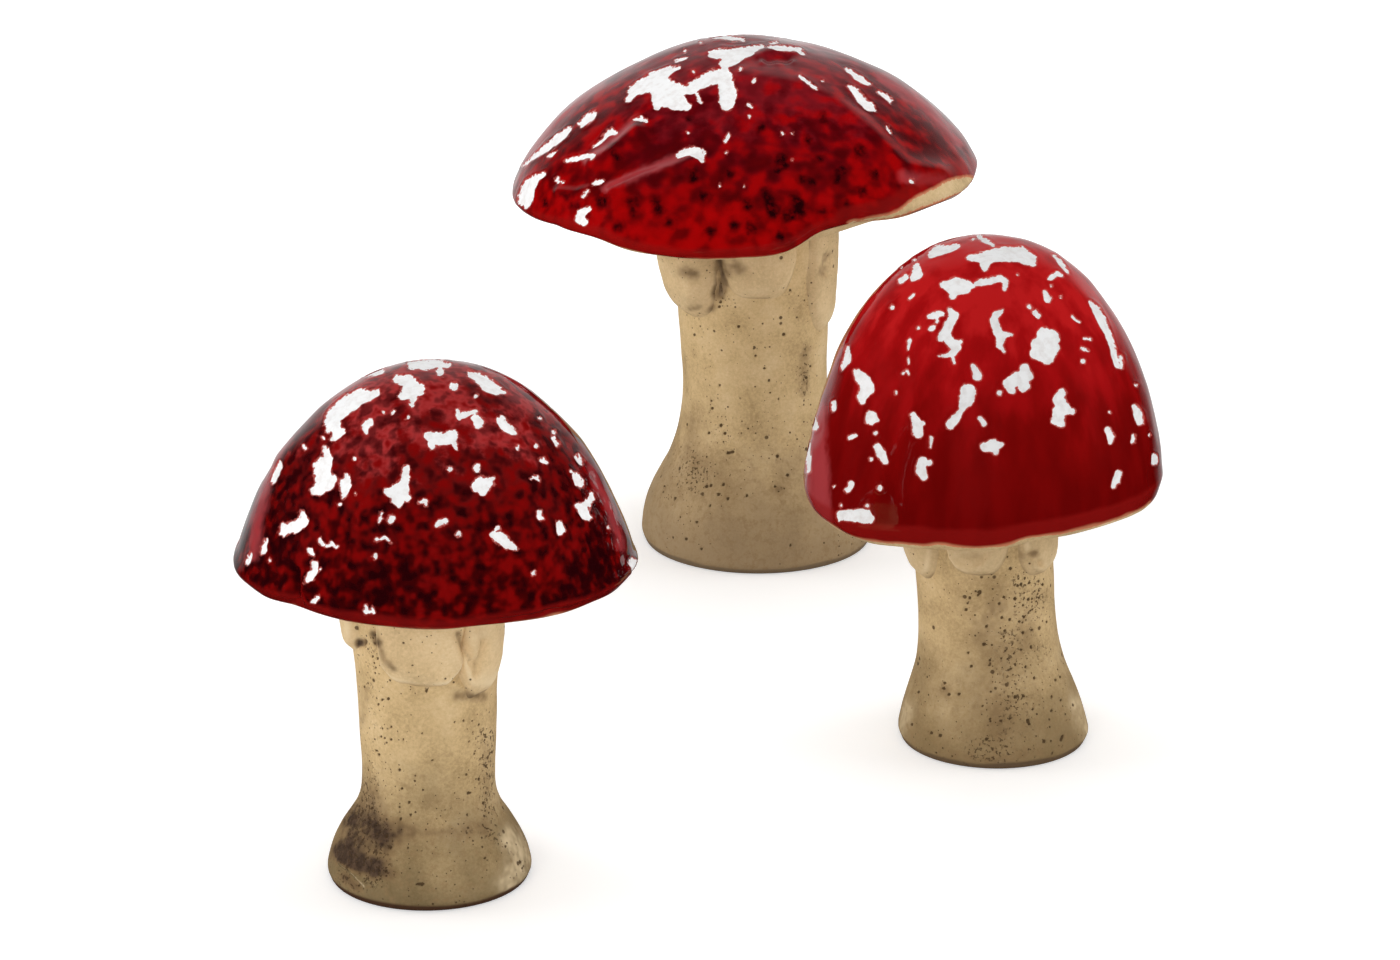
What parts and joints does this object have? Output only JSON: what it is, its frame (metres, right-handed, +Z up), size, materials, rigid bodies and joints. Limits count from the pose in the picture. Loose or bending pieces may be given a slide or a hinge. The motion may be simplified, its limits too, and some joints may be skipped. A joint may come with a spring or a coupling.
{
  "type": "ceramic mushroom ornament set",
  "caption": "Set of hand-built ceramic toadstools with flared hollow stoneware stems luted under domed, bell and broad caps, red glazed with bare white patches; each stands free as an ornament.",
  "frame": {"origin": "on the standing surface, under the middle of the set's bounding box", "axes": "+Z up, +Y away from the viewer of the picture, from the domed mushroom towards the broad one, +X to the viewer's right"},
  "size_m": [0.2711, 0.4107, 0.1721],
  "materials": {
    "red_glaze": "glossy red glaze over white slip, crawled into bare white patches",
    "stoneware": "bare matt buff stoneware with dark iron specks and pits",
    "luting_clay": "bare matt buff clay, smeared by thumb"
  },
  "bodies": {
    "root": {"domed_cap": "red_glaze", "domed_underside": "stoneware", "domed_stem": "stoneware", "domed_wad_front": "luting_clay", "domed_wad_right": "luting_clay", "domed_wad_left": "luting_clay", "domed_wad_back": "luting_clay", "bell_cap": "red_glaze", "bell_underside": "stoneware", "bell_stem": "stoneware", "bell_wad_front": "luting_clay", "bell_wad_right": "luting_clay", "bell_wad_left": "luting_clay", "bell_wad_back": "luting_clay", "broad_cap": "red_glaze", "broad_underside": "stoneware", "broad_stem": "stoneware", "broad_wad_left": "luting_clay", "broad_wad_front": "luting_clay", "broad_wad_right": "luting_clay", "broad_wad_back": "luting_clay"}
  },
  "joints": []
}
